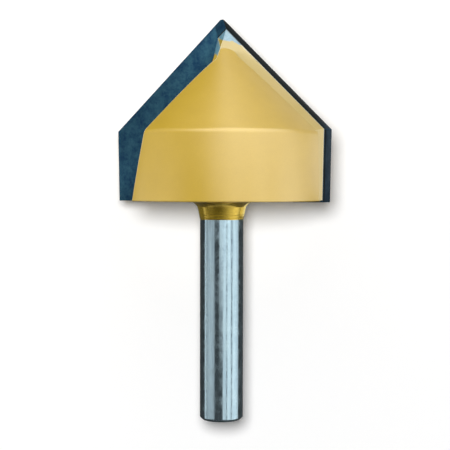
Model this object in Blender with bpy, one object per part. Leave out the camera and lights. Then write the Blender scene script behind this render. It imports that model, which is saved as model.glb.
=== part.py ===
"""V groove router bit: a turned body and shank with two soldered carbide tips.

The body is one turned bar. Two gullets are milled into its head, half a turn apart, and each ends at a
carbide plate that is let into a seat. The steel behind a plate stands proud of the turned head as a
ground heel, and falls away from the plate to the turned surface.

Lengths are millimetres and angles are degrees. The tool frame has its axis along +Z, with the
theoretical point of the V at the origin and the shank below it. Everything is modelled for the right
side, whose plate lies at +X with its rake face looking along +Y. The left side is the same mesh turned
half round the axis. The empty rest_pose lays the finished bit on the floor with its point towards +Y.
"""
import math

import bmesh
import bpy
from mathutils import Matrix, Vector

MM = 0.001

# Cutting edges
CUTTING_DIAMETER = 31.10
V_ANGLE = 90.0
POINT_LAND = 0.55             # width of the blunt point
BAND_HEIGHT = 9.80            # straight cutting edge between the V and the plate's foot
BAND_BACK_TAPER = 1.1         # the straight edge leans in towards the shank
RELIEF_ANGLE = 22.0           # fall of the ground flank behind the edges, measured radially
POINT_RELIEF = 60.0           # fall of the facet where a plate crosses the centre

# Carbide plates and their solder
TIP_THICKNESS = 1.55
TIP_WIDTH_V = 3.90            # square to the V edge
TIP_WIDTH_BAND = 5.00         # square to the straight edge
TIP_CORNER_RADIUS = 1.00      # inner corner between the two legs
TIP_END_SLANT = 27.5          # inner end at the point, from the axis
TIP_CROSSING = 3.10           # depth below the point where that end crosses the axis
SOLDER_THICKNESS = 0.12
FIT_GAP = 0.02                # between a plate, its solder and its seat, and between the two plates

# Turned body
BODY_SETBACK = 1.00           # turned head inside the cutting edges, square to them
BODY_FOOT_SETBACK = 0.15      # the plates reach this far below the head
RIDGE_RADIUS = 1.00           # between the cone and the straight part of the head
FOOT_EDGE_RADIUS = 0.25       # outer edge of the head's lower face
NECK_RADIUS = 2.00            # fillet between the head's lower face and the shank
SHANK_DIAMETER = 6.00
OVERALL_LENGTH = 55.70        # theoretical point to shank end
SHANK_CHAMFER = 0.35
COATED_NECK = 2.65            # the coating ends this far below the head
TURNED_FACETS = 96
ARC_STEPS = 5

# Proud heels behind the plates
HEEL_REACH = 4.00             # rake plane to the heel's far side
HEEL_SINK = 0.50              # depth of that side below the turned head
HEEL_NOSE_ANGLE = 65.0        # steepest fall, at the point, measured radially
HEEL_STEPS = 12

# Gullets
GULLET_OPENING = 64.2         # from the edges round to the far wall, at the ridge
WALL_LEAN = 24.5              # wall against the plane across the rake face
WALL_TILT = 17.6              # wall against the axis
WEB_FLANK_ANGLE = 40.0        # floor near the axis, rising from the rake plane to the web
WEB_TAPER = 13.0              # spread of the web from the point
GULLET_ROOT_RADIUS = 1.50
GULLET_STOP = 0.70            # how far the gullet runs past the axis near the point

# Rest on the floor
REST_ROLL = 17.8

# Sizes that follow from the ones above
RADIUS = CUTTING_DIAMETER / 2
HALF_ANGLE = math.radians(V_ANGLE / 2)
FLARE = math.tan(HALF_ANGLE)                     # radius gained for each unit of depth
KINK_DEPTH = RADIUS / FLARE
TIP_FOOT = KINK_DEPTH + BAND_HEIGHT
HEAD_FOOT = TIP_FOOT - BODY_FOOT_SETBACK
BODY_RADIUS = RADIUS - BODY_SETBACK
BODY_APEX = BODY_SETBACK / math.sin(HALF_ANGLE)
RIDGE_DEPTH = BODY_APEX + BODY_RADIUS / FLARE
SHANK_RADIUS = SHANK_DIAMETER / 2
RAKE_PLANE = -FIT_GAP / 2                        # Y of the right plate's rake face
TIP_BACK = RAKE_PLANE - TIP_THICKNESS
SOLDER_FRONT = TIP_BACK - FIT_GAP
SOLDER_BACK = SOLDER_FRONT - SOLDER_THICKNESS
SEAT_FLOOR = SOLDER_BACK - FIT_GAP
RELIEF_FALL = math.tan(math.radians(RELIEF_ANGLE))
BACK_LEAN = math.tan(math.radians(BAND_BACK_TAPER))
END_SLOPE = math.tan(math.radians(TIP_END_SLANT))
CLEAR = 2.0                                      # how far cutters run out of what they cut


def arc(centre, radius, start, end, steps):
    """Points on an arc, from the start angle to the end angle in degrees."""
    points = []
    for i in range(steps + 1):
        angle = math.radians(start + (end - start) * i / steps)
        points.append((centre[0] + radius * math.cos(angle), centre[1] + radius * math.sin(angle)))
    return points


def new_object(name, mesh, material, side=0.0):
    """An object under rest_pose, turned about the tool's axis by side degrees."""
    made = bpy.data.objects.new(name, mesh)
    bpy.context.collection.objects.link(made)
    made.parent = rest_pose
    made.rotation_euler = (0.0, 0.0, math.radians(side))
    if material and not mesh.materials:
        mesh.materials.append(material)
    return made


def finish_mesh(bm, name):
    """Scales a bmesh from millimetres to metres and makes a mesh of it."""
    bmesh.ops.recalc_face_normals(bm, faces=bm.faces)
    bmesh.ops.scale(bm, vec=Vector((MM, MM, MM)), verts=bm.verts)
    mesh = bpy.data.meshes.new(name)
    bm.to_mesh(mesh)
    bm.free()
    return mesh


def make_material(name, colour, metallic, roughness):
    """A Principled BSDF with plain values."""
    material = bpy.data.materials.new(name)
    material.use_nodes = True
    shader = material.node_tree.nodes["Principled BSDF"]
    shader.inputs["Base Color"].default_value = (*colour, 1.0)
    shader.inputs["Metallic"].default_value = metallic
    shader.inputs["Roughness"].default_value = roughness
    material.diffuse_color = (*colour, 1.0)
    return material


def trim(bm, normal, offset):
    """Cuts away what lies beyond the plane normal . p = offset, and closes the cut."""
    direction = Vector(normal)
    length = direction.length
    cut = bmesh.ops.bisect_plane(
        bm, geom=bm.verts[:] + bm.edges[:] + bm.faces[:], dist=1e-5,
        plane_co=direction * offset / length ** 2, plane_no=direction / length, clear_outer=True)
    edges = [item for item in cut["geom_cut"] if isinstance(item, bmesh.types.BMEdge)]
    if edges:
        bmesh.ops.holes_fill(bm, edges=edges, sides=0)


def block(low, high):
    """A closed box between two corners, as a bmesh."""
    bm = bmesh.new()
    bmesh.ops.create_cube(bm, size=1.0)
    size = Vector(high) - Vector(low)
    bmesh.ops.scale(bm, vec=size, verts=bm.verts)
    bmesh.ops.translate(bm, vec=(Vector(high) + Vector(low)) / 2, verts=bm.verts)
    return bm


def plate(outline, front, back):
    """An outline in X and Z, extruded along Y from front to back, as a bmesh."""
    bm = bmesh.new()
    face = bm.faces.new([bm.verts.new((x, front, z)) for x, z in outline])
    grown = bmesh.ops.extrude_face_region(bm, geom=[face])
    moved = [item for item in grown["geom"] if isinstance(item, bmesh.types.BMVert)]
    bmesh.ops.translate(bm, vec=(0.0, back - front, 0.0), verts=moved)
    bmesh.ops.recalc_face_normals(bm, faces=bm.faces)
    return bm


def edge_radius(z):
    """Distance of the cutting edges from the axis at a height."""
    if -z < KINK_DEPTH:
        return -FLARE * z
    return RADIUS - BACK_LEAN * (-z - KINK_DEPTH)


def turned_radius(z):
    """Radius of the turned head at a height, with its ridge taken as sharp."""
    return min(BODY_RADIUS, max(FLARE * (-z - BODY_APEX), 0.0))


def grind_flanks(bm):
    """Grinds the two flanks behind the edges, the facet across the centre and the blunt point."""
    start = RELIEF_FALL * RAKE_PLANE
    trim(bm, (1.0, -RELIEF_FALL, FLARE), -start)
    trim(bm, (1.0, -RELIEF_FALL, -BACK_LEAN), RADIUS + BACK_LEAN * KINK_DEPTH - start)
    grind_point(bm)


def grind_point(bm):
    """Cuts the facet where a plate crosses the centre, and the blunt point."""
    fall = math.tan(math.radians(POINT_RELIEF))
    trim(bm, (-1.0 / FLARE, -fall, 1.0), -fall * RAKE_PLANE)
    trim(bm, (0.0, 0.0, 1.0), -POINT_LAND / 2 / FLARE)


def tip_inner_edge(gap):
    """The plate's inner boundary, from its foot to its end at the point, moved inwards by gap."""
    band_line = RADIUS - TIP_WIDTH_BAND - gap
    v_line = (TIP_WIDTH_V + gap) / math.cos(HALF_ANGLE)
    corner = (band_line, -(band_line + v_line) / FLARE)
    radius = TIP_CORNER_RADIUS - gap
    reach = radius * math.tan(HALF_ANGLE / 2)
    centre = (corner[0] - radius, corner[1] - reach)
    bend = arc(centre, radius, 0.0, V_ANGLE / 2, ARC_STEPS)
    end_line = END_SLOPE * TIP_CROSSING + gap / math.cos(math.radians(TIP_END_SLANT))
    end_depth = (v_line - end_line) / (END_SLOPE - FLARE)
    end = (-end_line - END_SLOPE * end_depth, end_depth)
    return bend, end, end_line


def tip_outline(gap, outward, foot):
    """The plate in its rake plane, anticlockwise from the foot of its inner side."""
    bend, end, end_line = tip_inner_edge(gap)
    point = (-end_line - END_SLOPE * outward, outward)
    rim = RADIUS + outward
    return [(rim, -foot), (rim, outward), point, end] + bend[::-1] + [(bend[0][0], -foot)]


def tip_mesh():
    """One carbide plate."""
    bm = plate(tip_outline(0.0, CLEAR, TIP_FOOT), RAKE_PLANE, TIP_BACK)
    grind_flanks(bm)
    return finish_mesh(bm, "carbide_tip")


def solder_mesh():
    """The solder film behind one plate, ground flush with it."""
    bm = plate(tip_outline(0.0, CLEAR, HEAD_FOOT), SOLDER_FRONT, SOLDER_BACK)
    grind_flanks(bm)
    return finish_mesh(bm, "solder")


def seat_cutter():
    """The pocket for one plate and its solder, open outwards, downwards and to the gullet."""
    bm = plate(tip_outline(FIT_GAP, 2 * CLEAR, HEAD_FOOT + CLEAR), -RAKE_PLANE, SEAT_FLOOR)
    return finish_mesh(bm, "seat_cutter")


def heel_column(z, drop):
    """A section of the heel: along the flank to the seat's floor, then down into the turned head."""
    front = edge_radius(z) + RELIEF_FALL * (TIP_BACK / 2 - RAKE_PLANE)
    start = edge_radius(z) + RELIEF_FALL * (SEAT_FLOOR - RAKE_PLANE)
    run = HEEL_REACH + SEAT_FLOOR
    fall = math.tan(math.radians(HEEL_NOSE_ANGLE))
    radius = turned_radius(z - drop)
    if radius > HEEL_REACH:
        sunk = math.sqrt(radius ** 2 - HEEL_REACH ** 2) - HEEL_SINK
        fall = min(fall, (start - sunk) / run)
    return [(-TIP_WIDTH_V, TIP_BACK / 2, z), (front, TIP_BACK / 2, z), (start, SEAT_FLOOR, z),
            (start - fall * run, -HEEL_REACH, z - drop), (-TIP_WIDTH_V, -HEEL_REACH, z - drop)]


def heel_mesh():
    """The proud steel behind one plate, lofted from its foot to the point."""
    drop = RIDGE_DEPTH - KINK_DEPTH
    top = BODY_APEX / 2
    columns = [heel_column(-HEAD_FOOT + FOOT_EDGE_RADIUS, 0.0)]
    for i in range(HEEL_STEPS + 1):
        columns.append(heel_column(-KINK_DEPTH + (KINK_DEPTH - top) * i / HEEL_STEPS, drop))
    bm = bmesh.new()
    rings = [[bm.verts.new(point) for point in column] for column in columns]
    for lower, upper in zip(rings, rings[1:]):
        for j in range(len(lower)):
            k = (j + 1) % len(lower)
            bm.faces.new((lower[j], lower[k], upper[k], upper[j]))
    bm.faces.new(rings[0][::-1])
    bm.faces.new(rings[-1])
    bmesh.ops.recalc_face_normals(bm, faces=bm.faces)
    bmesh.ops.triangulate(bm, faces=bm.faces)
    grind_point(bm)
    return finish_mesh(bm, "heel")


def gullet_cutter():
    """One gullet: flush with the rake face, up a sloping web flank and a rounded root to its wall."""
    lean = math.tan(math.radians(WALL_LEAN))
    tilt = math.tan(math.radians(WALL_TILT))
    flank = math.tan(math.radians(WEB_FLANK_ANGLE))
    spread = math.tan(math.radians(WEB_TAPER))
    opening = math.radians(GULLET_OPENING)
    edge = BODY_RADIUS * (math.cos(opening) - lean * math.sin(opening)) - tilt * RIDGE_DEPTH
    rim = RADIUS + CLEAR
    bm = block((-rim, RAKE_PLANE, -HEAD_FOOT - CLEAR), (rim, rim, CLEAR))
    trim(bm, (-1.0, lean, -tilt), -edge)
    trim(bm, (-flank, -1.0, -flank * spread), 0.0)
    for root in gullet_roots(bm, Vector((-1.0, lean, -tilt)), Vector((-flank, -1.0, -flank * spread))):
        bmesh.ops.bevel(bm, geom=[root], offset=root_offset(root), segments=ARC_STEPS, profile=0.5,
                        affect="EDGES", offset_type="OFFSET")
    trim(bm, (-1.0, 0.0, 0.0), GULLET_STOP)
    trim(bm, (-1.0, 0.0, END_SLOPE), -END_SLOPE * TIP_CROSSING)
    return finish_mesh(bm, "gullet_cutter")


def gullet_roots(bm, wall, web):
    """The edges between a face whose normal is the wall's and one whose normal is the web flank's."""
    found = []
    for edge in bm.edges:
        normals = [face.normal for face in edge.link_faces]
        along_wall = max(abs(normal.dot(wall.normalized())) for normal in normals)
        along_web = max(abs(normal.dot(web.normalized())) for normal in normals)
        if along_wall > 0.999 and along_web > 0.999:
            found.append(edge)
    return found


def root_offset(edge):
    """How far a bevel runs from the edge for a round of the root's radius."""
    angle = edge.calc_face_angle()
    return GULLET_ROOT_RADIUS * math.tan(angle / 2)


def turned_profile():
    """Radius and height along the turned surface, from the point to the shank's end."""
    ridge_turn = 90.0 - V_ANGLE / 2
    reach = RIDGE_RADIUS * math.tan(math.radians(ridge_turn) / 2)
    ridge = (BODY_RADIUS - RIDGE_RADIUS, -RIDGE_DEPTH - reach)
    foot = (BODY_RADIUS - FOOT_EDGE_RADIUS, -HEAD_FOOT + FOOT_EDGE_RADIUS)
    neck = (SHANK_RADIUS + NECK_RADIUS, -HEAD_FOOT - NECK_RADIUS)
    profile = [(0.0, -BODY_APEX)]
    profile += arc(ridge, RIDGE_RADIUS, 90.0 - V_ANGLE / 2, 0.0, ARC_STEPS)
    profile += arc(foot, FOOT_EDGE_RADIUS, 0.0, -90.0, 2)
    profile += arc(neck, NECK_RADIUS, 90.0, 180.0, 2 * ARC_STEPS)
    profile.append((SHANK_RADIUS, -HEAD_FOOT - COATED_NECK))
    profile.append((SHANK_RADIUS, -OVERALL_LENGTH + SHANK_CHAMFER))
    profile.append((SHANK_RADIUS - SHANK_CHAMFER, -OVERALL_LENGTH))
    profile.append((0.0, -OVERALL_LENGTH))
    return profile


def body_mesh(coating, steel):
    """The turned blank, with one facet square to the floor when the bit lies at rest."""
    step = 360.0 / TURNED_FACETS
    down = math.radians(90.0 + REST_ROLL - step / 2)
    bm = bmesh.new()
    profile = [bm.verts.new((r * math.cos(down), r * math.sin(down), z)) for r, z in turned_profile()]
    lines = [bm.edges.new(pair) for pair in zip(profile, profile[1:])]
    bmesh.ops.spin(bm, geom=profile + lines, axis=(0.0, 0.0, 1.0), cent=(0.0, 0.0, 0.0),
                   angle=2 * math.pi, steps=TURNED_FACETS, use_merge=True)
    bmesh.ops.remove_doubles(bm, verts=bm.verts, dist=1e-4)
    for face in bm.faces:
        bare = face.calc_center_median().z < -HEAD_FOOT - COATED_NECK
        face.material_index = 1 if bare else 0
    mesh = finish_mesh(bm, "cutter_body")
    mesh.materials.append(coating)
    mesh.materials.append(steel)
    return mesh


def shade(target):
    """Smooth shading with its sharp edges kept."""
    target.data.shade_smooth()
    target.data.set_sharp_from_angle(angle=math.radians(25.0))


def add_boolean(target, operand, operation):
    """Joins or cuts target by operand, which stays in the file as a guide."""
    operand.hide_render = True
    operand.display_type = "WIRE"
    modifier = target.modifiers.new(operand.name, "BOOLEAN")
    modifier.operation = operation
    modifier.solver = "EXACT"
    modifier.object = operand


def rest_matrix():
    """Rolls the tool, lays it down with its point towards +Y and sets its lowest facet on Z = 0."""
    axis_height = BODY_RADIUS * math.cos(math.pi / TURNED_FACETS)
    middle = (OVERALL_LENGTH + POINT_LAND / 2 / FLARE) / 2
    laid = Matrix.Rotation(math.radians(-90.0), 4, "X") @ Matrix.Rotation(math.radians(-REST_ROLL), 4, "Z")
    return Matrix.Translation(Vector((0.0, middle * MM, axis_height * MM))) @ laid


def build():
    """Makes the bit's five pieces."""
    coating = make_material("gold_coating", (0.60, 0.42, 0.11), 1.0, 0.38)
    steel = make_material("ground_steel", (0.62, 0.65, 0.67), 1.0, 0.22)
    carbide = make_material("dark_carbide", (0.035, 0.075, 0.11), 0.6, 0.35)
    solder = make_material("silver_solder", (0.66, 0.68, 0.66), 1.0, 0.35)

    body = new_object("cutter_body", body_mesh(coating, steel), None)
    shade(body)
    heel, gullet, seat = heel_mesh(), gullet_cutter(), seat_cutter()
    tip, film = tip_mesh(), solder_mesh()
    sides = (("right", 0.0), ("left", 180.0))
    for side, turn in sides:
        add_boolean(body, new_object(side + "_heel", heel, coating, turn), "UNION")
    for side, turn in sides:
        add_boolean(body, new_object(side + "_gullet", gullet, coating, turn), "DIFFERENCE")
        add_boolean(body, new_object(side + "_seat", seat, coating, turn), "DIFFERENCE")
    for side, turn in sides:
        new_object(side + "_carbide_tip", tip, carbide, turn)
        new_object(side + "_braze_layer", film, solder, turn)


for leftover in list(bpy.data.objects):
    bpy.data.objects.remove(leftover)

rest_pose = bpy.data.objects.new("rest_pose", None)
bpy.context.collection.objects.link(rest_pose)
rest_pose.matrix_world = rest_matrix()
build()
bpy.context.view_layer.update()
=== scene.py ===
"""Looks of the V groove router bit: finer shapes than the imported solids, finishes, floor and light.

Lengths are millimetres. Those of the bit are in the tool frame: the axis is +Z, the theoretical point of
the V is the origin and the shank lies below it. The matrix LAID takes that frame to the place where the
bit lies on the floor, and the camera, lamps and cards are placed there.
"""
import math

import bmesh
import bpy
from mathutils import Matrix, Vector


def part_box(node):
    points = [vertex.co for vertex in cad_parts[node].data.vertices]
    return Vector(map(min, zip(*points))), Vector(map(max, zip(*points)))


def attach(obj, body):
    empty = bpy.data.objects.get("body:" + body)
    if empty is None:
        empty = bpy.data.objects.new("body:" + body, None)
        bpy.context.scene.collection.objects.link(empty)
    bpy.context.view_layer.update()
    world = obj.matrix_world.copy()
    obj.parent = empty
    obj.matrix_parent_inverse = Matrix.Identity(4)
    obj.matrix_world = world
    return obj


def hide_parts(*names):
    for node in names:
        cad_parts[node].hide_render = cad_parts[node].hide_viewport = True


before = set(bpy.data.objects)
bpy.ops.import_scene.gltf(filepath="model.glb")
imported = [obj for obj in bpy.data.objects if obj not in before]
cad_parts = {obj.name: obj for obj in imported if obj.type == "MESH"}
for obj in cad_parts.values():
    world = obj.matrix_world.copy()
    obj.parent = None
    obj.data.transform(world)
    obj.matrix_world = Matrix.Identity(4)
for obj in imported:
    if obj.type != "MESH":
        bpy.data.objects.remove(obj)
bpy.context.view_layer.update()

MM = 0.001

# Cutting edges
CUTTING_DIAMETER = 31.10
V_ANGLE = 90.0
POINT_LAND = 0.55
BAND_HEIGHT = 9.80
BAND_BACK_TAPER = 1.1
RELIEF_ANGLE = 22.0
POINT_RELIEF = 60.0

# Carbide plates and their solder
TIP_THICKNESS = 1.55
TIP_WIDTH_V = 3.90
TIP_WIDTH_BAND = 5.00
TIP_CORNER_RADIUS = 1.00
TIP_END_SLANT = 27.5
TIP_CROSSING = 3.10
SOLDER_THICKNESS = 0.12
FIT_GAP = 0.02
EDGE_BREAK = 0.035

# Turned body
BODY_SETBACK = 1.00
BODY_FOOT_SETBACK = 0.15
RIDGE_RADIUS = 1.00
FOOT_EDGE_RADIUS = 0.14
NECK_RADIUS = 2.00
SHANK_DIAMETER = 6.00
OVERALL_LENGTH = 55.70
SHANK_CHAMFER = 0.35
SHANK_EDGE_RADIUS = 0.12
COATED_NECK = 2.65
COATING_STEP = 0.03
NECK_GROOVE = 0.022              # depth of the two turned lines above the coating's end
NECK_GROOVE_HALF = 0.06
NECK_GROOVES = (2.02, 2.40)
NECK_TAPER = 10.0                # angle left at the foot of the neck's curve
TURNED_FACETS = 288
ARC_STEPS = 12

# Proud heels behind the plates
HEEL_REACH = 4.00
HEEL_SINK = 0.50
HEEL_NOSE_ANGLE = 65.0
HEEL_STEPS = 48
HEEL_STRIPS = 16

# Gullets
GULLET_OPENING = 64.2
WALL_LEAN = 24.5
WALL_TILT = 17.6
WEB_FLANK_ANGLE = 40.0
WEB_TAPER = 13.0
GULLET_ROOT_RADIUS = 1.50
GULLET_STOP = 0.70

# Rest on the floor
REST_ROLL = 17.8

# How the meshes are cut, joined and shaded
CLEAR = 2.0                      # by how much a cutter overshoots
CUT_TOLERANCE = 1e-5
MERGE_DISTANCE = 1e-4
SLIVER = 0.001                   # narrowest face that is kept
SAME_DIRECTION = 0.999           # cosine between two normals that count as one
FLANK_DIRECTION = 0.99           # the same for a plate's ground flanks
HONED_ANGLE = 15.0               # edges of a plate sharper than this are honed
BODY_SMOOTHING = 9.0             # edges flatter than this are shaded smooth
TIP_SMOOTHING = 40.0

# Sizes that follow from the ones above
RADIUS = CUTTING_DIAMETER / 2
HALF_ANGLE = math.radians(V_ANGLE / 2)
FLARE = math.tan(HALF_ANGLE)
KINK_DEPTH = RADIUS / FLARE
TIP_FOOT = KINK_DEPTH + BAND_HEIGHT
HEAD_FOOT = TIP_FOOT - BODY_FOOT_SETBACK
BODY_RADIUS = RADIUS - BODY_SETBACK
BODY_APEX = BODY_SETBACK / math.sin(HALF_ANGLE)
RIDGE_DEPTH = BODY_APEX + BODY_RADIUS / FLARE
SHANK_RADIUS = SHANK_DIAMETER / 2
RAKE_PLANE = -FIT_GAP / 2
TIP_BACK = RAKE_PLANE - TIP_THICKNESS
SOLDER_FRONT = TIP_BACK - FIT_GAP
SOLDER_BACK = SOLDER_FRONT - SOLDER_THICKNESS
SEAT_FLOOR = SOLDER_BACK - FIT_GAP
RELIEF_FALL = math.tan(math.radians(RELIEF_ANGLE))
POINT_FALL = math.tan(math.radians(POINT_RELIEF))
BACK_LEAN = math.tan(math.radians(BAND_BACK_TAPER))
END_SLOPE = math.tan(math.radians(TIP_END_SLANT))
HEEL_START = TIP_BACK / 2        # the heels begin inside the seats, which cut them back
HEEL_TOP = BODY_APEX / 2

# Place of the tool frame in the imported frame
BODY_LOW, BODY_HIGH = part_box("cutter_body")
AXIS_HEIGHT = (BODY_LOW.z + BODY_HIGH.z) / 2 / MM
POINT_Y = BODY_LOW.y / MM + OVERALL_LENGTH
LAID = (Matrix.Translation(Vector((0.0, POINT_Y * MM, AXIS_HEIGHT * MM)))
        @ Matrix.Rotation(math.radians(-90.0), 4, "X")
        @ Matrix.Rotation(math.radians(-REST_ROLL), 4, "Z"))

# Camera, fitted to the photograph: its frame is 450 pixels wide
FRAME_PIXELS = 450
SENSOR_WIDTH = 36.0
FOCAL_PIXELS = 1191.622
CAMERA_DISTANCE = 165.572
CAMERA_PITCH = 2.176
CAMERA_ROLL = 0.120
AIM_SIDE = 0.455                 # aim point right of the axis
AIM_DEPTH = 28.631               # aim point below the V's point
CLIP_START = 10.0

# Colours, each a pair that a pattern blends
GOLD = ((0.525, 0.335, 0.008), (0.575, 0.376, 0.018))
GOLD_SPECKLE = ((0.48, 0.305, 0.008), (0.64, 0.435, 0.035))
BARE_STEEL = ((0.066, 0.20, 0.27), (0.16, 0.325, 0.41))
NECK_GOLD = ((0.50, 0.34, 0.02), (0.62, 0.43, 0.04))
SHANK_STREAKS = ((0.31, 0.430, 0.505), (0.45, 0.60, 0.66))
SHANK_CLOUDS = ((0.28, 0.395, 0.46), (0.48, 0.64, 0.70))
CARBIDE = ((0.011, 0.046, 0.108), (0.045, 0.138, 0.198))
CARBIDE_SPOTS = ((0.008, 0.040, 0.090), (0.04, 0.11, 0.16))
GROUND_CARBIDE = ((0.011, 0.021, 0.032), (0.024, 0.042, 0.060))
BRAZE = ((0.02, 0.018, 0.012), (0.07, 0.06, 0.04))

# Single colours
# Pale gold along the body's edges: partly wear, partly a painted highlight
EDGE_WEAR_AND_HIGHLIGHT = (0.90, 0.80, 0.50)
# Dark colour along the gullets' edges: a painted shadow
EDGE_PAINTED_SHADOW = (0.02, 0.02, 0.015)
# Near black on the V's flank: painted shade, darker than the band's flank
V_FLANK_PAINTED_SHADE = (0.010, 0.013, 0.014)
JOINT_BLACK = (0.006, 0.007, 0.006)
CARBIDE_TINT = (0.10, 0.14, 0.18)

# Patterns: scale per millimetre, detail and roughness of the noise
PATTERNS = {
    "gold_mottle": (0.30, 5.0, 0.6),
    "gold_speckle": (9.0, 2.0, 0.5),
    "gold_marks": (14.0, 3.0, 0.6),
    "ragged": (1.6, 4.0, 0.65),
    "bare_steel": (2.4, 3.0, 0.5),
    "neck_mottle": (1.5, 4.0, 0.6),
    "neck_marks": (9.0, 3.0, 0.5),
    "shank_streaks": (3.5, 4.0, 0.6),
    "shank_clouds": (0.9, 4.0, 0.6),
    "shank_ripples": (2.2, 3.0, 0.55),
    "carbide_mottle": (0.7, 6.0, 0.65),
    "carbide_spots": (3.2, 3.0, 0.5),
    "flank_mottle": (1.1, 4.0, 0.6),
    "braze_mottle": (3.0, 3.0, 0.5),
}
SPREAD = (0.3, 0.7)              # part of a pattern's range over which its two colours blend
CARBIDE_SPREAD = (0.36, 0.64)
SPOT_SPREAD = (0.35, 0.65)
STREAK_STRETCH = 0.06            # scale along the shank, as a share of that across it
RIPPLE_STRETCH = 0.35

# Bumps: strength, and height in millimetres
FINE_BUMP = (0.10, 0.02)
GOLD_BUMP = (0.12, 0.02)
RIPPLE_BUMP = (0.16, 0.05)

# Finishes
GOLD_METALLIC = 0.1
GOLD_ROUGHNESS = 0.5
GOLD_COAT_ROUGHNESS = 0.33
GOLD_COAT_IOR = 2.3
SPECKLE_SHARE = 0.25
NECK_METALLIC = 0.75
NECK_ROUGHNESS = 0.24
NECK_COAT = 0.6
NECK_COAT_ROUGHNESS = 0.20
SHANK_ROUGHNESS = (0.09, 0.27)
SHANK_ROUGH_SPREAD = (0.35, 0.72)
CLOUD_SHARE = 0.35
CARBIDE_METALLIC = 0.6
CARBIDE_ROUGHNESS = 0.36
CARBIDE_SPECULAR = 0.15
SPOT_SHARE = 0.3
FLANK_ROUGHNESS = 0.30
FLANK_SPECULAR = 0.03
BRAZE_METALLIC = 0.8
BRAZE_ROUGHNESS = 0.5

# Wear and bare steel, with highlight and shade painted along edges and on the V's flank
EDGE_WEAR_AND_LIGHT_REACH = 0.24                 # reach from an edge of the wear, painted highlight and painted shadow
EDGE_SPREAD = (0.80, 0.98)       # cosines between the rounded and the plain normal
EDGE_STRENGTH = 0.95
EDGE_SAMPLES = 8
GROUND_LEVEL = -3.05             # height above which the steel is ground bare
GULLET_GROUND_LEVEL = -5.3       # the same in the gullets and seats
GROUND_SLOPE = 0.28              # fall of that height per millimetre sideways
GROUND_RAGGED = 1.1              # how far the noise moves it
GROUND_EDGE = 4.0                # sharpness of the bare patch's outline
V_FLANK_SPREAD = (0.90, 1.0)     # shares of the kink's depth where the V's flank turns to painted shade
JOINT_SPREAD = (0.74, 0.86)      # shares of the plate's thickness

# Painted light that the heels' gold is multiplied by, at shares of the kink's depth: painted shade near
# the point, a pale painted sheen lower down
HEEL_PAINTED_LIGHT = ((0.30, (0.70, 0.76, 1.0)), (0.65, (0.88, 0.97, 4.4)))

# Floor and lamps: a level of 1 renders a white card as white
FLOOR_SIZE = 4000.0
FLOOR_WHITE = 0.95
FLOOR_GLOW = 0.06
FLOOR_NEAR = 15.0                # distance from the middle within which the floor glows least
FLOOR_FAR = 200.0
KEY_LEVEL = 0.46
FLOOR_KEY_LEVEL = 0.50           # more of the same light for the floor alone
KEY_HEIGHT = 185.0
KEY_RADIUS = 15.5
KEY_PLACE = (-5.5, 17.2)
FILLS = (("left_fill", (-0.85, 0.52, 0.10), 1.38), ("right_fill", (0.95, 0.30, 0.05), 1.12))
FILL_ANGLE = 60.0
WORLD_LEVEL = 0.05

# What the metal sees of the studio: levels by the angle from the zenith towards the right.
# A box has two angles and a level. The rear box stands beyond the point.
DARK = 0.10
BOX_SOFTNESS = 2.5
SHANK_LEFT = ((-104.0, DARK), (-78.0, 0.80), (-62.0, 0.88), (-41.0, 0.76), (-35.0, DARK))
SHANK_BOXES = ((7.5, 26.0, 1.32), (30.0, 53.0, 1.45), (59.0, 90.0, 1.45))
SHANK_DOOR = ((-12.0, 12.0, 1.32),)
NECK_VIEW = ((-100.0, 0.06), (-42.0, 0.04), (0.0, 0.07), (23.0, 0.30), (45.0, 0.95), (67.0, 1.5),
             (94.0, 1.9), (120.0, 1.9))
NECK_POLE = ((-90.0, 0.2), (0.0, 0.26), (40.0, 0.6), (90.0, 0.95), (135.0, 0.9))
HEAD_VIEW = ((-180.0, 0.03), (-50.0, 0.05), (-15.0, 1.1), (12.0, 2.2), (45.0, 1.85), (75.0, 0.85),
             (110.0, 0.60))
REAR_BOX = 2.4
REAR_VIEW = ((-180.0, 0.0), (-60.0, 0.0), (-35.0, 0.5), (5.0, 1.0), (40.0, 1.0), (62.0, 0.5),
             (95.0, 0.5), (105.0, 0.0))

# Where one view passes into the next along Y: 0 is behind the shank's end, 1 beyond the point
POLE_TO_NECK = (0.03, 0.12)
NECK_TO_SHANK = (0.345, 0.365)
DOOR_OPENING = (0.40, 0.49)
SHANK_TO_HEAD = (0.49, 0.52)
REAR_BOX_EDGES = ((0.70, 0.0), (0.78, 1.0), (0.90, 1.0), (0.96, 0.0))

# Cards on the floor that only the metal sees: near and far corners, and grey
FLAG_HEIGHT = 0.1
FLAG_GAP = 2.0                   # left free between the flags and the head's foot
FLAG_TOP = POINT_Y - HEAD_FOOT - FLAG_GAP
FLAGS = (("left_flag", (-90.0, -400.0), (0.0, FLAG_TOP), 0.09),
         ("right_flag", (0.0, -400.0), (90.0, FLAG_TOP), 0.12),
         ("head_flag", (-1900.0, FLAG_TOP), (-2.0, 300.0), 0.06),
         ("far_flag", (2.0, 17.0), (300.0, 300.0), 0.6))

# Upright cards beside the neck that only the metal sees: X, and the colour and level of their shine
NECK_CARDS = (("left_card", -5.2, (1.0, 0.93, 0.35), 0.14),
              ("right_card", 5.2, (1.0, 0.95, 0.55), 1.2))
NECK_CARD_SPAN = (0.05, 2.5)     # along Y
NECK_CARD_HEIGHTS = (7.0, 15.8)


def arc(centre, radius, start, end, steps):
    """Points on an arc, from the start angle to the end angle in degrees."""
    points = []
    for i in range(steps + 1):
        angle = math.radians(start + (end - start) * i / steps)
        points.append((centre[0] + radius * math.cos(angle), centre[1] + radius * math.sin(angle)))
    return points


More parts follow.
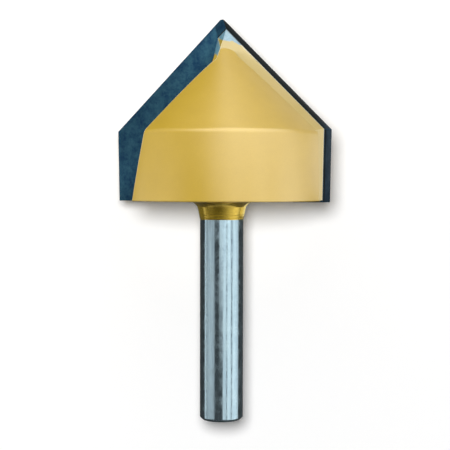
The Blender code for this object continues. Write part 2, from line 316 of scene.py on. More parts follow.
def trim(bm, normal, offset):
    """Cuts away what lies beyond the plane normal . p = offset, and closes the cut."""
    direction = Vector(normal)
    length = direction.length
    cut = bmesh.ops.bisect_plane(
        bm, geom=bm.verts[:] + bm.edges[:] + bm.faces[:], dist=CUT_TOLERANCE,
        plane_co=direction * offset / length ** 2, plane_no=direction / length, clear_outer=True)
    edges = [item for item in cut["geom_cut"] if isinstance(item, bmesh.types.BMEdge)]
    if edges:
        bmesh.ops.holes_fill(bm, edges=edges, sides=0)


def block(low, high):
    """A closed box between two corners, as a bmesh."""
    bm = bmesh.new()
    bmesh.ops.create_cube(bm, size=1.0)
    bmesh.ops.scale(bm, vec=Vector(high) - Vector(low), verts=bm.verts)
    bmesh.ops.translate(bm, vec=(Vector(high) + Vector(low)) / 2, verts=bm.verts)
    return bm


def plate(outline, front, back):
    """An outline in X and Z, extruded along Y from front to back, as a bmesh."""
    bm = bmesh.new()
    face = bm.faces.new([bm.verts.new((x, front, z)) for x, z in outline])
    grown = bmesh.ops.extrude_face_region(bm, geom=[face])
    moved = [item for item in grown["geom"] if isinstance(item, bmesh.types.BMVert)]
    bmesh.ops.translate(bm, vec=(0.0, back - front, 0.0), verts=moved)
    bmesh.ops.recalc_face_normals(bm, faces=bm.faces)
    return bm


def finish_mesh(bm, name, turn=0.0):
    """Turns a bmesh about the axis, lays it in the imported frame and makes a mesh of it."""
    bmesh.ops.recalc_face_normals(bm, faces=bm.faces)
    place = LAID @ Matrix.Rotation(math.radians(turn), 4, "Z") @ Matrix.Diagonal((MM, MM, MM, 1.0))
    bmesh.ops.transform(bm, matrix=place, verts=bm.verts)
    mesh = bpy.data.meshes.new(name)
    bm.to_mesh(mesh)
    bm.free()
    return mesh


def new_piece(name, mesh):
    """An object at the world's origin, whose place is in its mesh."""
    made = bpy.data.objects.new(name, mesh)
    bpy.context.scene.collection.objects.link(made)
    return made


def edge_radius(z):
    """Distance of the cutting edges from the axis at a height."""
    if -z < KINK_DEPTH:
        return -FLARE * z
    return RADIUS - BACK_LEAN * (-z - KINK_DEPTH)


def turned_radius(z):
    """Radius of the turned head at a height, with its ridge taken as sharp."""
    return min(BODY_RADIUS, max(FLARE * (-z - BODY_APEX), 0.0))


def grind_flanks(bm):
    """Grinds the two flanks behind the edges, the facet across the centre and the blunt point."""
    start = RELIEF_FALL * RAKE_PLANE
    trim(bm, (1.0, -RELIEF_FALL, FLARE), -start)
    trim(bm, (1.0, -RELIEF_FALL, -BACK_LEAN), RADIUS + BACK_LEAN * KINK_DEPTH - start)
    grind_point(bm)


def grind_point(bm):
    """Cuts the facet where a plate crosses the centre, and the blunt point."""
    trim(bm, (-1.0 / FLARE, -POINT_FALL, 1.0), -POINT_FALL * RAKE_PLANE)
    trim(bm, (0.0, 0.0, 1.0), -POINT_LAND / 2 / FLARE)


def tip_inner_edge(gap):
    """The plate's inner boundary, from its foot to its end at the point, moved inwards by gap."""
    band_line = RADIUS - TIP_WIDTH_BAND - gap
    v_line = (TIP_WIDTH_V + gap) / math.cos(HALF_ANGLE)
    corner = (band_line, -(band_line + v_line) / FLARE)
    radius = TIP_CORNER_RADIUS - gap
    reach = radius * math.tan(HALF_ANGLE / 2)
    centre = (corner[0] - radius, corner[1] - reach)
    bend = arc(centre, radius, 0.0, V_ANGLE / 2, ARC_STEPS)
    end_line = END_SLOPE * TIP_CROSSING + gap / math.cos(math.radians(TIP_END_SLANT))
    end_depth = (v_line - end_line) / (END_SLOPE - FLARE)
    end = (-end_line - END_SLOPE * end_depth, end_depth)
    return bend, end, end_line


def tip_outline(gap, outward, foot):
    """The plate in its rake plane, anticlockwise from the foot of its inner side."""
    bend, end, end_line = tip_inner_edge(gap)
    point = (-end_line - END_SLOPE * outward, outward)
    rim = RADIUS + outward
    return [(rim, -foot), (rim, outward), point, end] + bend[::-1] + [(bend[0][0], -foot)]


def tip_mesh(turn):
    """One carbide plate, with its edges lightly honed."""
    bm = plate(tip_outline(0.0, CLEAR, TIP_FOOT), RAKE_PLANE, TIP_BACK)
    grind_flanks(bm)
    bmesh.ops.recalc_face_normals(bm, faces=bm.faces)
    sharp = [edge for edge in bm.edges if edge.calc_face_angle(0.0) > math.radians(HONED_ANGLE)]
    bmesh.ops.bevel(bm, geom=sharp, offset=EDGE_BREAK, segments=2, profile=0.5, affect="EDGES",
                    offset_type="OFFSET", clamp_overlap=True)
    return finish_mesh(bm, "carbide_tip", turn)


def finish_flanks(mesh, turn):
    """Gives the faces ground behind the cutting edges the second finish."""
    outward = (LAID @ Matrix.Rotation(math.radians(turn), 4, "Z")).to_3x3()
    v_flank = (outward @ Vector((1.0, -RELIEF_FALL, FLARE))).normalized()
    band_flank = (outward @ Vector((1.0, -RELIEF_FALL, -BACK_LEAN))).normalized()
    for polygon in mesh.polygons:
        along = max(polygon.normal.dot(v_flank), polygon.normal.dot(band_flank))
        polygon.material_index = int(along > FLANK_DIRECTION)


def solder_mesh(turn):
    """The solder film behind one plate, ground flush with it."""
    bm = plate(tip_outline(0.0, CLEAR, HEAD_FOOT), SOLDER_FRONT, SOLDER_BACK)
    grind_flanks(bm)
    return finish_mesh(bm, "solder", turn)


def seat_cutter(turn):
    """The pocket for one plate and its solder, open outwards, downwards and to the gullet."""
    bm = plate(tip_outline(FIT_GAP, 2 * CLEAR, HEAD_FOOT + CLEAR), -RAKE_PLANE, SEAT_FLOOR)
    return finish_mesh(bm, "seat_cutter", turn)


def heel_column(z, drop):
    """A section of the heel: along the flank to the seat's floor, then down into the turned head."""
    front = edge_radius(z) + RELIEF_FALL * (HEEL_START - RAKE_PLANE)
    start = edge_radius(z) + RELIEF_FALL * (SEAT_FLOOR - RAKE_PLANE)
    run = HEEL_REACH + SEAT_FLOOR
    fall = math.tan(math.radians(HEEL_NOSE_ANGLE))
    radius = turned_radius(z - drop)
    if radius > HEEL_REACH:
        sunk = math.sqrt(radius ** 2 - HEEL_REACH ** 2) - HEEL_SINK
        fall = min(fall, (start - sunk) / run)
    column = [(-TIP_WIDTH_V, HEEL_START, z), (front, HEEL_START, z)]
    for i in range(HEEL_STRIPS + 1):
        share = i / HEEL_STRIPS
        column.append((start - fall * run * share, SEAT_FLOOR - run * share, z - drop * share))
    return column + [(-TIP_WIDTH_V, -HEEL_REACH, z - drop)]


def heel_mesh(turn):
    """The proud steel behind one plate, lofted from its foot to the point."""
    drop = RIDGE_DEPTH - KINK_DEPTH
    columns = [heel_column(-HEAD_FOOT + FOOT_EDGE_RADIUS, 0.0)]
    for i in range(HEEL_STEPS + 1):
        columns.append(heel_column(-KINK_DEPTH + (KINK_DEPTH - HEEL_TOP) * i / HEEL_STEPS, drop))
    bm = bmesh.new()
    rings = [[bm.verts.new(point) for point in column] for column in columns]
    for lower, upper in zip(rings, rings[1:]):
        for j in range(len(lower)):
            k = (j + 1) % len(lower)
            bm.faces.new((lower[j], lower[k], upper[k], upper[j]))
    bm.faces.new(rings[0][::-1])
    bm.faces.new(rings[-1])
    bmesh.ops.recalc_face_normals(bm, faces=bm.faces)
    bmesh.ops.triangulate(bm, faces=bm.faces)
    grind_point(bm)
    return finish_mesh(bm, "heel", turn)


def gullet_cutter(turn):
    """One gullet: flush with the rake face, up a sloping web flank and a rounded root to its wall."""
    lean = math.tan(math.radians(WALL_LEAN))
    tilt = math.tan(math.radians(WALL_TILT))
    flank = math.tan(math.radians(WEB_FLANK_ANGLE))
    spread = math.tan(math.radians(WEB_TAPER))
    opening = math.radians(GULLET_OPENING)
    edge = BODY_RADIUS * (math.cos(opening) - lean * math.sin(opening)) - tilt * RIDGE_DEPTH
    rim = RADIUS + CLEAR
    wall = Vector((-1.0, lean, -tilt))
    web = Vector((-flank, -1.0, -flank * spread))
    bm = block((-rim, RAKE_PLANE, -HEAD_FOOT - CLEAR), (rim, rim, CLEAR))
    trim(bm, wall, -edge)
    trim(bm, web, 0.0)
    for root in gullet_roots(bm, wall, web):
        offset = GULLET_ROOT_RADIUS * math.tan(root.calc_face_angle() / 2)
        bmesh.ops.bevel(bm, geom=[root], offset=offset, segments=2 * ARC_STEPS, profile=0.5,
                        affect="EDGES", offset_type="OFFSET")
    trim(bm, (-1.0, 0.0, 0.0), GULLET_STOP)
    trim(bm, (-1.0, 0.0, END_SLOPE), -END_SLOPE * TIP_CROSSING)
    return finish_mesh(bm, "gullet_cutter", turn)


def gullet_roots(bm, wall, web):
    """The edges between a face whose normal is the wall's and one whose normal is the web flank's."""
    found = []
    for edge in bm.edges:
        normals = [face.normal for face in edge.link_faces]
        along_wall = max(abs(normal.dot(wall.normalized())) for normal in normals)
        along_web = max(abs(normal.dot(web.normalized())) for normal in normals)
        if min(along_wall, along_web) > SAME_DIRECTION:
            found.append(edge)
    return found


def turned_profile():
    """Radius and height along the turned surface, from the point to the shank's end."""
    ridge_turn = 90.0 - V_ANGLE / 2
    reach = RIDGE_RADIUS * math.tan(math.radians(ridge_turn) / 2)
    ridge = (BODY_RADIUS - RIDGE_RADIUS, -RIDGE_DEPTH - reach)
    foot = (BODY_RADIUS - FOOT_EDGE_RADIUS, -HEAD_FOOT + FOOT_EDGE_RADIUS)
    neck = (SHANK_RADIUS + NECK_RADIUS, -HEAD_FOOT - NECK_RADIUS)
    coat = SHANK_RADIUS + COATING_STEP
    coat_end = -HEAD_FOOT - COATED_NECK
    chamfer_top = -OVERALL_LENGTH + SHANK_CHAMFER
    profile = [(0.0, -BODY_APEX)]
    profile += arc(ridge, RIDGE_RADIUS, ridge_turn, 0.0, ARC_STEPS)
    profile += arc(foot, FOOT_EDGE_RADIUS, 0.0, -90.0, ARC_STEPS)
    taper = math.tan(math.radians(NECK_TAPER))
    profile += [point for point in arc(neck, NECK_RADIUS - COATING_STEP, 90.0, 180.0, 2 * ARC_STEPS)
                if point[0] > coat + taper * (point[1] - coat_end)]
    for depth in NECK_GROOVES:
        middle = -HEAD_FOOT - depth
        radius = coat + taper * (middle - coat_end)
        reach = taper * NECK_GROOVE_HALF
        profile += [(radius + reach, middle + NECK_GROOVE_HALF), (radius - NECK_GROOVE, middle),
                    (radius - reach, middle - NECK_GROOVE_HALF)]
    profile += [(coat, coat_end + COATING_STEP), (coat - COATING_STEP / 2, coat_end),
                (SHANK_RADIUS, coat_end)]
    shoulder = (SHANK_RADIUS - SHANK_EDGE_RADIUS, chamfer_top + SHANK_EDGE_RADIUS / 2)
    profile += arc(shoulder, SHANK_EDGE_RADIUS, 0.0, -45.0, ARC_STEPS // 2)
    profile += [(SHANK_RADIUS - SHANK_CHAMFER, -OVERALL_LENGTH), (0.0, -OVERALL_LENGTH)]
    return profile


def blank_mesh():
    """The turned blank with its shank, coated down to the neck."""
    bm = bmesh.new()
    profile = [bm.verts.new((r, 0.0, z)) for r, z in turned_profile()]
    lines = [bm.edges.new(pair) for pair in zip(profile, profile[1:])]
    bmesh.ops.spin(bm, geom=profile + lines, axis=(0.0, 0.0, 1.0), cent=(0.0, 0.0, 0.0),
                   angle=2 * math.pi, steps=TURNED_FACETS, use_merge=True)
    bmesh.ops.remove_doubles(bm, verts=bm.verts, dist=MERGE_DISTANCE)
    for face in bm.faces:
        depth = -face.calc_center_median().z - HEAD_FOOT
        face.material_index = int(depth > FIT_GAP) + int(depth > COATED_NECK)
    return finish_mesh(bm, "fine_body")


def apply_boolean(target, cutter, operation, finish):
    """Joins or cuts target by a mesh, gives the new faces its finish and applies the result."""
    cutter.materials.append(finish)
    operand = new_piece("operand", cutter)
    modifier = target.modifiers.new("boolean", "BOOLEAN")
    modifier.material_mode = "TRANSFER"
    modifier.operation = operation
    modifier.solver = "EXACT"
    modifier.object = operand
    graph = bpy.context.evaluated_depsgraph_get()
    result = bpy.data.meshes.new_from_object(target.evaluated_get(graph))
    target.modifiers.clear()
    target.data = result
    bpy.data.objects.remove(operand)


def shade(target, angle):
    """Smooth shading that keeps the edges sharper than an angle."""
    target.data.shade_smooth()
    target.data.set_sharp_from_angle(angle=math.radians(angle))


def drop_slivers(target):
    """Takes out the faces without area that the cuts leave along their seams."""
    bm = bmesh.new()
    bm.from_mesh(target.data)
    bmesh.ops.triangulate(bm, faces=bm.faces[:])
    bmesh.ops.dissolve_degenerate(bm, dist=SLIVER * MM, edges=bm.edges[:])
    bm.to_mesh(target.data)
    bm.free()


def make_body(gold, heel, neck, steel, gullet):
    """The body with its heels, gullets and seats, in its finishes."""
    blank = blank_mesh()
    for finish in (gold, neck, steel):
        blank.materials.append(finish)
    body = new_piece("fine_body", blank)
    for turn in (0.0, 180.0):
        apply_boolean(body, heel_mesh(turn), "UNION", heel)
    for turn in (0.0, 180.0):
        apply_boolean(body, gullet_cutter(turn), "DIFFERENCE", gullet)
        apply_boolean(body, seat_cutter(turn), "DIFFERENCE", gullet)
    drop_slivers(body)
    shade(body, BODY_SMOOTHING)
    return body


def grey(level):
    """A colour without hue."""
    return (level, level, level)


class Graph:
    """A short way to add and link the nodes of one material or world."""

    def __init__(self, tree):
        self.tree = tree

    def add(self, kind, **settings):
        """Adds a node and sets its properties."""
        node = self.tree.nodes.new("ShaderNode" + kind)
        for name, value in settings.items():
            setattr(node, name, value)
        return node

    def link(self, source, target):
        """Links one socket to another."""
        self.tree.links.new(source, target)

    def math(self, operation, *values):
        """A Math node on sockets or numbers."""
        node = self.add("Math", operation=operation)
        for socket, value in zip(node.inputs, values):
            if isinstance(value, bpy.types.NodeSocket):
                self.link(value, socket)
            else:
                socket.default_value = value
        return node.outputs[0]

    def ramp(self, value, stops):
        """A colour ramp on a socket: stops are (position, colour or grey)."""
        node = self.add("ValToRGB")
        elements = node.color_ramp.elements
        while len(elements) < len(stops):
            elements.new(0.5)
        for element, (position, colour) in zip(elements, stops):
            element.position = position
            element.color = (*(colour if isinstance(colour, tuple) else grey(colour)), 1.0)
        self.link(value, node.inputs[0])
        return node.outputs[0]

    def blend(self, value, pair, spread=SPREAD):
        """A ramp from the first of a pair of colours or greys to the second."""
        return self.ramp(value, tuple(zip(spread, pair)))

    def noise(self, vector, pattern):
        """The value of one of the patterns at a place."""
        node = self.add("TexNoise")
        for name, value in zip(("Scale", "Detail", "Roughness"), PATTERNS[pattern]):
            node.inputs[name].default_value = value
        self.link(vector, node.inputs["Vector"])
        return node.outputs["Fac"]

    def mix(self, factor, first, second, blend="MIX"):
        """A colour Mix node: sockets, numbers or colours."""
        node = self.add("Mix", data_type="RGBA", blend_type=blend)
        for socket, value in ((node.inputs[0], factor), (node.inputs[6], first), (node.inputs[7], second)):
            if isinstance(value, bpy.types.NodeSocket):
                self.link(value, socket)
            elif isinstance(value, tuple):
                socket.default_value = (*value, 1.0)
            else:
                socket.default_value = value
        return node.outputs[2]

    def bump(self, height, size, normal=None):
        """A bump of a strength and height, over another normal if there is one."""
        strength, distance = size
        node = self.add("Bump")
        node.inputs["Strength"].default_value = strength
        node.inputs["Distance"].default_value = distance * MM
        self.link(height, node.inputs["Height"])
        if normal is not None:
            self.link(normal, node.inputs["Normal"])
        return node.outputs["Normal"]

    def stretched(self, vector, scale):
        """A vector whose part along the tool's axis is scaled."""
        node = self.add("Mapping", vector_type="POINT")
        node.inputs["Scale"].default_value = (1.0, 1.0, scale)
        self.link(vector, node.inputs["Vector"])
        return node.outputs[0]


def new_material(name, metallic, roughness):
    """A node material with a Principled shader, and its graph."""
    material = bpy.data.materials.new(name)
    material.use_nodes = True
    shader = material.node_tree.nodes["Principled BSDF"]
    shader.inputs["Metallic"].default_value = metallic
    shader.inputs["Roughness"].default_value = roughness
    return material, shader, Graph(material.node_tree)


def tool_coordinates(graph):
    """Object coordinates turned into the tool frame, in millimetres: a vector and its three parts."""
    place = graph.add("TexCoord").outputs["Object"]
    node = graph.add("Mapping", vector_type="POINT")
    back = Matrix.Diagonal((1 / MM, 1 / MM, 1 / MM, 1.0)) @ LAID.inverted()
    node.inputs["Location"].default_value = back.translation
    node.inputs["Rotation"].default_value = back.to_euler()
    node.inputs["Scale"].default_value = (1 / MM, 1 / MM, 1 / MM)
    graph.link(place, node.inputs["Vector"])
    parts = graph.add("SeparateXYZ")
    graph.link(node.outputs["Vector"], parts.inputs[0])
    return node.outputs["Vector"], parts.outputs


def edge_mask(graph):
    """1 on edges and 0 on open surface, for edge wear and painted light and shade; also the normal rounded
    over the edges.
    """
    rounded = graph.add("Bevel")
    rounded.samples = EDGE_SAMPLES
    rounded.inputs["Radius"].default_value = EDGE_WEAR_AND_LIGHT_REACH * MM
    plain = graph.add("NewGeometry").outputs["True Normal"]
    dot = graph.add("VectorMath", operation="DOT_PRODUCT")
    graph.link(rounded.outputs[0], dot.inputs[0])
    graph.link(plain, dot.inputs[1])
    return graph.blend(dot.outputs["Value"], (1.0, 0.0), EDGE_SPREAD), rounded.outputs[0]


def kink_share(graph, z):
    """Depth below the V's point, as a share of the depth of the edges' kink."""
    return graph.math("DIVIDE", graph.math("MULTIPLY", z, -1.0), KINK_DEPTH)


def ground_mask(graph, vector, parts, level):
    """1 where steel is ground bare, above a ragged sloping line."""
    x, y, z = parts
    side = graph.math("MULTIPLY", x, graph.math("MULTIPLY", graph.math("SIGN", y), -1.0))
    uneven = graph.math("SUBTRACT", graph.noise(vector, "ragged"), 0.5)
    ragged = graph.math("MULTIPLY", uneven, GROUND_RAGGED)
    height = graph.math("ADD", graph.math("ADD", z, graph.math("MULTIPLY", side, GROUND_SLOPE)), ragged)
    above = graph.math("MULTIPLY_ADD", height, GROUND_EDGE, 0.5 - GROUND_EDGE * level)
    return graph.blend(above, (0.0, 1.0))


def gold_material(name, ground_level, edge_wear_and_light, painted_light=None):
    """Satin gold coating, bare steel near the point, edges of wear and painted highlight or shadow,
    painted light on heels.
    """
    material, shader, graph = new_material(name, GOLD_METALLIC, GOLD_ROUGHNESS)
    shader.inputs["Coat Weight"].default_value = 1.0
    shader.inputs["Coat Roughness"].default_value = GOLD_COAT_ROUGHNESS
    shader.inputs["Coat IOR"].default_value = GOLD_COAT_IOR
    vector, parts = tool_coordinates(graph)
    gold = graph.blend(graph.noise(vector, "gold_mottle"), GOLD)
    speckle = graph.blend(graph.noise(vector, "gold_speckle"), GOLD_SPECKLE)
    gold = graph.mix(SPECKLE_SHARE, gold, speckle)
    # Painted light on the heels: shade near the point, a pale sheen lower down
    if painted_light:
        gold = graph.mix(1.0, gold, graph.ramp(kink_share(graph, parts[2]), painted_light), "MULTIPLY")
    # Edge colour: wear and a painted highlight on the gold, a painted shadow in the gullets
    wear_and_light_mask, rounded = edge_mask(graph)
    gold = graph.mix(graph.math("MULTIPLY", wear_and_light_mask, EDGE_STRENGTH), gold, edge_wear_and_light)
    bare = graph.blend(graph.noise(vector, "bare_steel"), BARE_STEEL)
    ground = ground_mask(graph, vector, parts, ground_level)
    graph.link(graph.mix(ground, gold, bare), shader.inputs["Base Color"])
    marks = graph.bump(graph.noise(vector, "gold_marks"), GOLD_BUMP, rounded)
    graph.link(marks, shader.inputs["Normal"])
    return material


def neck_material():
    """The same coating on the turned neck, smoother and more metallic."""
    material, shader, graph = new_material("coated_neck", NECK_METALLIC, NECK_ROUGHNESS)
    shader.inputs["Coat Weight"].default_value = NECK_COAT
    shader.inputs["Coat Roughness"].default_value = NECK_COAT_ROUGHNESS
    vector, _ = tool_coordinates(graph)
    gold = graph.blend(graph.noise(vector, "neck_mottle"), NECK_GOLD)
    graph.link(gold, shader.inputs["Base Color"])
    graph.link(graph.bump(graph.noise(vector, "neck_marks"), FINE_BUMP), shader.inputs["Normal"])
    return material


def shank_material():
    """Bare ground steel with streaks along the shank."""
    material, shader, graph = new_material("ground_steel", 1.0, SHANK_ROUGHNESS[0])
    vector, _ = tool_coordinates(graph)
    streaks = graph.noise(graph.stretched(vector, STREAK_STRETCH), "shank_streaks")
    clouds = graph.noise(vector, "shank_clouds")
    steel = graph.mix(CLOUD_SHARE, graph.blend(streaks, SHANK_STREAKS), graph.blend(clouds, SHANK_CLOUDS))
    graph.link(steel, shader.inputs["Base Color"])
    graph.link(graph.blend(clouds, SHANK_ROUGHNESS, SHANK_ROUGH_SPREAD), shader.inputs["Roughness"])
    ripples = graph.noise(graph.stretched(vector, RIPPLE_STRETCH), "shank_ripples")
    graph.link(graph.bump(streaks, FINE_BUMP, graph.bump(ripples, RIPPLE_BUMP)), shader.inputs["Normal"])
    return material


def carbide_material():
    """Dark blue-grey carbide, mottled by the heat of brazing."""
    material, shader, graph = new_material("carbide", CARBIDE_METALLIC, CARBIDE_ROUGHNESS)
    shader.inputs["Specular IOR Level"].default_value = CARBIDE_SPECULAR
    shader.inputs["Specular Tint"].default_value = (*CARBIDE_TINT, 1.0)
    vector, _ = tool_coordinates(graph)
    colour = graph.blend(graph.noise(vector, "carbide_mottle"), CARBIDE, CARBIDE_SPREAD)
    spots = graph.noise(vector, "carbide_spots")
    colour = graph.mix(SPOT_SHARE, colour, graph.blend(spots, CARBIDE_SPOTS, SPOT_SPREAD))
    graph.link(colour, shader.inputs["Base Color"])
    graph.link(graph.bump(spots, FINE_BUMP), shader.inputs["Normal"])
    return material


def flank_material():
    """Ground carbide behind the edges: near black, darker at the joint, and along the V with painted
    shade.
    """
    material, shader, graph = new_material("ground_carbide", 0.0, FLANK_ROUGHNESS)
    shader.inputs["Specular IOR Level"].default_value = FLANK_SPECULAR
    vector, (_, y, z) = tool_coordinates(graph)
    colour = graph.blend(graph.noise(vector, "flank_mottle"), GROUND_CARBIDE)
    # Painted shade: the flank along the V is made darker than along the band
    colour = graph.mix(graph.blend(kink_share(graph, z), (1.0, 0.0), V_FLANK_SPREAD), colour, V_FLANK_PAINTED_SHADE)
    through = graph.math("DIVIDE", graph.math("ABSOLUTE", y), TIP_THICKNESS)
    joint = graph.blend(through, (0.0, 1.0), JOINT_SPREAD)
    graph.link(graph.mix(joint, colour, JOINT_BLACK), shader.inputs["Base Color"])
    return material


def solder_material():
    """Dull, darkened solder at the joint."""
    material, shader, graph = new_material("braze", BRAZE_METALLIC, BRAZE_ROUGHNESS)
    vector, _ = tool_coordinates(graph)
    colour = graph.blend(graph.noise(vector, "braze_mottle"), BRAZE)
    graph.link(colour, shader.inputs["Base Color"])
    return material


def seen_rays(graph):
    """1 for rays from the camera and for mirrored or transmitted ones, 0 for diffuse light."""
    path = graph.add("LightPath").outputs
    seen = graph.math("MAXIMUM", path["Is Camera Ray"], path["Is Glossy Ray"])
    return graph.math("MAXIMUM", seen, path["Is Transmission Ray"])


def make_floor():
    """A pale floor that shows white away from the bit and keeps the bit's shadow."""
    bpy.ops.mesh.primitive_plane_add(size=FLOOR_SIZE * MM, location=(0.0, 0.0, 0.0))
    floor = bpy.context.object
    floor.name = "floor"
    material, shader, graph = new_material("floor_paper", 0.0, 1.0)
    shader.inputs["Base Color"].default_value = (FLOOR_WHITE, FLOOR_WHITE, FLOOR_WHITE, 1.0)
    shader.inputs["Specular IOR Level"].default_value = 0.0
    shader.inputs["Emission Color"].default_value = (1.0, 1.0, 1.0, 1.0)
    distance = graph.add("VectorMath", operation="LENGTH")
    graph.link(graph.add("TexCoord").outputs["Object"], distance.inputs[0])
    far = graph.math("DIVIDE", distance.outputs["Value"], FLOOR_FAR * MM)
    glow = graph.blend(far, (FLOOR_GLOW, 1.0), (FLOOR_NEAR / FLOOR_FAR, 1.0))
    graph.link(graph.math("MULTIPLY", seen_rays(graph), glow), shader.inputs["Emission Strength"])
    floor.data.materials.append(material)
    return floor


def box_stops(boxes):
    """Colour ramp stops for soft boxes with dark gaps between them."""
    stops = ()
    for low, high, level in boxes:
        stops += ((low - BOX_SOFTNESS, DARK), (low + BOX_SOFTNESS, level),
                  (high - BOX_SOFTNESS, level), (high + BOX_SOFTNESS, DARK))
    return stops


def make_world():
    """The studio as the metal sees it: a view each for neck, shank and head, and the rear box."""
    world = bpy.data.worlds.new("studio")
    bpy.context.scene.world = world
    world.use_nodes = True
    world.cycles.sampling_method = "NONE"
    graph = Graph(world.node_tree)
    parts = graph.add("SeparateXYZ")
    graph.link(graph.add("TexCoord").outputs["Generated"], parts.inputs[0])
    x, y, z = parts.outputs
    turn = graph.math("ADD", graph.math("DIVIDE", graph.math("ARCTAN2", x, z), 2 * math.pi), 0.5)
    along = graph.math("MULTIPLY_ADD", y, 0.5, 0.5)

    def around(stops):
        return graph.ramp(turn, [(0.5 + angle / 360.0, level) for angle, level in stops])

    def passing(edges):
        return graph.blend(along, (0.0, 1.0), edges)

    door = graph.mix(passing(DOOR_OPENING), grey(DARK), around(box_stops(SHANK_DOOR)))
    shank = graph.mix(1.0, around(SHANK_LEFT + box_stops(SHANK_BOXES)), door, "LIGHTEN")
    neck = graph.mix(passing(POLE_TO_NECK), around(NECK_POLE), around(NECK_VIEW))
    level = graph.mix(passing(NECK_TO_SHANK), neck, shank)
    level = graph.mix(passing(SHANK_TO_HEAD), level, around(HEAD_VIEW))
    rear = graph.mix(1.0, graph.ramp(along, REAR_BOX_EDGES), around(REAR_VIEW), "MULTIPLY")
    level = graph.mix(rear, level, grey(REAR_BOX))
    level = graph.mix(graph.add("LightPath").outputs["Is Camera Ray"], level, grey(1.0))
    background = world.node_tree.nodes["Background"]
    graph.link(graph.mix(seen_rays(graph), grey(WORLD_LEVEL), level), background.inputs["Color"])


def add_lamp(name, kind, energy, place, aim):
    """A lamp aimed at a point, seen by matt surfaces only: the world holds what the metal sees."""
    lamp = bpy.data.lights.new(name, kind)
    lamp.energy = energy
    holder = bpy.data.objects.new(name, lamp)
    bpy.context.scene.collection.objects.link(holder)
    holder.location = Vector(place) * MM
    holder.rotation_euler = (Vector(place) - Vector(aim)).to_track_quat("Z", "Y").to_euler()
    holder.visible_glossy = False
    return holder


def make_lamps(floor):
    """A round key light beside the camera, more of it for the floor, and the bit's two fills."""
    floor_only = bpy.data.collections.new("floor_only")
    floor_only.objects.link(floor)
    for name, level in (("key", KEY_LEVEL), ("floor_key", FLOOR_KEY_LEVEL)):
        power = level * (math.pi * KEY_HEIGHT * MM) ** 2
        key = add_lamp(name, "AREA", power, (*KEY_PLACE, KEY_HEIGHT), (*KEY_PLACE, 0.0))
        key.data.shape = "DISK"
        key.data.size = 2 * KEY_RADIUS * MM
    key.light_linking.receiver_collection = floor_only      # the last one lights the floor alone
    unfilled = bpy.data.collections.new("unfilled")
    unfilled.objects.link(floor)
    unfilled.collection_objects[0].light_linking.link_state = "EXCLUDE"
    for name, source, level in FILLS:
        fill = add_lamp(name, "SUN", level * math.pi, source, (0.0, 0.0, 0.0))
        fill.data.angle = math.radians(FILL_ANGLE)
        fill.light_linking.receiver_collection = unfilled


def make_flag(name, low, high, level):
    """A grey card just above the floor."""
    corners = ((low[0], low[1]), (high[0], low[1]), (high[0], high[1]), (low[0], high[1]))
    make_card(name, [(x, y, FLAG_HEIGHT) for x, y in corners], grey(level), 0.0)


def make_neck_card(name, side, colour, level):
    """A small upright card beside the neck."""
    near, far = NECK_CARD_SPAN
    low, high = NECK_CARD_HEIGHTS
    corners = ((side, near, low), (side, far, low), (side, far, high), (side, near, high))
    make_card(name, corners, colour, level)


def make_card(name, corners, colour, level):
    """A card that only the metal sees. It shines at its level, or is lit by the lamps if that is 0."""
    bm = bmesh.new()
    bm.faces.new([bm.verts.new(Vector(corner) * MM) for corner in corners])
    mesh = bpy.data.meshes.new(name)
    bm.to_mesh(mesh)
    bm.free()
    card = new_piece(name, mesh)
    material, shader, _ = new_material(name + "_paper", 0.0, 1.0)
    lit = grey(0.0) if level else colour
    shader.inputs["Base Color"].default_value = (*lit, 1.0)
    shader.inputs["Specular IOR Level"].default_value = 0.0
    shader.inputs["Emission Color"].default_value = (*colour, 1.0)
    shader.inputs["Emission Strength"].default_value = level
    card.data.materials.append(material)
    card.visible_camera = False
    card.visible_shadow = False
    card.visible_diffuse = False


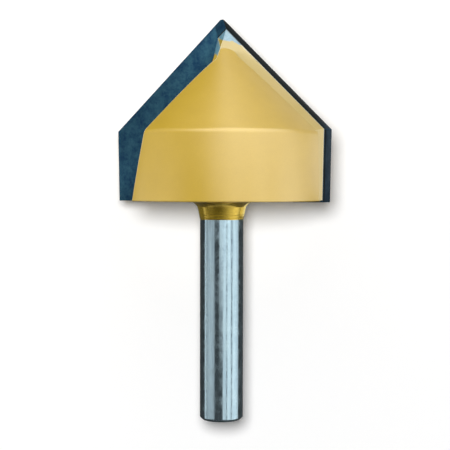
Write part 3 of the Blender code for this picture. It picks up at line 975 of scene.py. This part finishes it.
def make_camera():
    """The camera, hung over the bit at the photograph's viewing angle."""
    pitch = math.radians(CAMERA_PITCH)
    camera = bpy.data.objects.new("camera", bpy.data.cameras.new("camera"))
    bpy.context.scene.collection.objects.link(camera)
    camera.data.sensor_width = SENSOR_WIDTH
    camera.data.lens = FOCAL_PIXELS / FRAME_PIXELS * SENSOR_WIDTH
    camera.data.clip_start = CLIP_START * MM
    place = Vector((AIM_SIDE, POINT_Y - AIM_DEPTH + CAMERA_DISTANCE * math.sin(pitch),
                    AXIS_HEIGHT + CAMERA_DISTANCE * math.cos(pitch))) * MM
    camera.matrix_world = (Matrix.Translation(place) @ Matrix.Rotation(-pitch, 4, "X")
                           @ Matrix.Rotation(math.radians(CAMERA_ROLL), 4, "Z"))
    bpy.context.scene.camera = camera


make_camera()

# The gold's edges are pale: wear and a painted highlight
gold = gold_material("coated_steel", GROUND_LEVEL, EDGE_WEAR_AND_HIGHLIGHT)
# The heels' gold carries painted shade near the point and a painted sheen lower down
heel = gold_material("coated_heel_painted_light", GROUND_LEVEL, EDGE_WEAR_AND_HIGHLIGHT, HEEL_PAINTED_LIGHT)
# The gullets' edges are painted dark as shadow
gullet = gold_material("coated_gullet", GULLET_GROUND_LEVEL, EDGE_PAINTED_SHADOW)
body = make_body(gold, heel, neck_material(), shank_material(), gullet)
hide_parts("cutter_body")
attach(body, "root")

carbide = carbide_material()
flank = flank_material()
solder = solder_material()
for side, turn in (("right", 0.0), ("left", 180.0)):
    tip = new_piece("fine_" + side + "_tip", tip_mesh(turn))
    shade(tip, TIP_SMOOTHING)
    tip.data.materials.append(carbide)
    tip.data.materials.append(flank)
    finish_flanks(tip.data, turn)
    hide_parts(side + "_carbide_tip")
    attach(tip, "root")
    film = new_piece("fine_" + side + "_braze", solder_mesh(turn))
    film.data.materials.append(solder)
    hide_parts(side + "_braze_layer")
    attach(film, "root")

make_world()
make_lamps(make_floor())
for flag in FLAGS:
    make_flag(*flag)
for neck_card in NECK_CARDS:
    make_neck_card(*neck_card)

scene = bpy.context.scene
scene.view_settings.view_transform = "Standard"
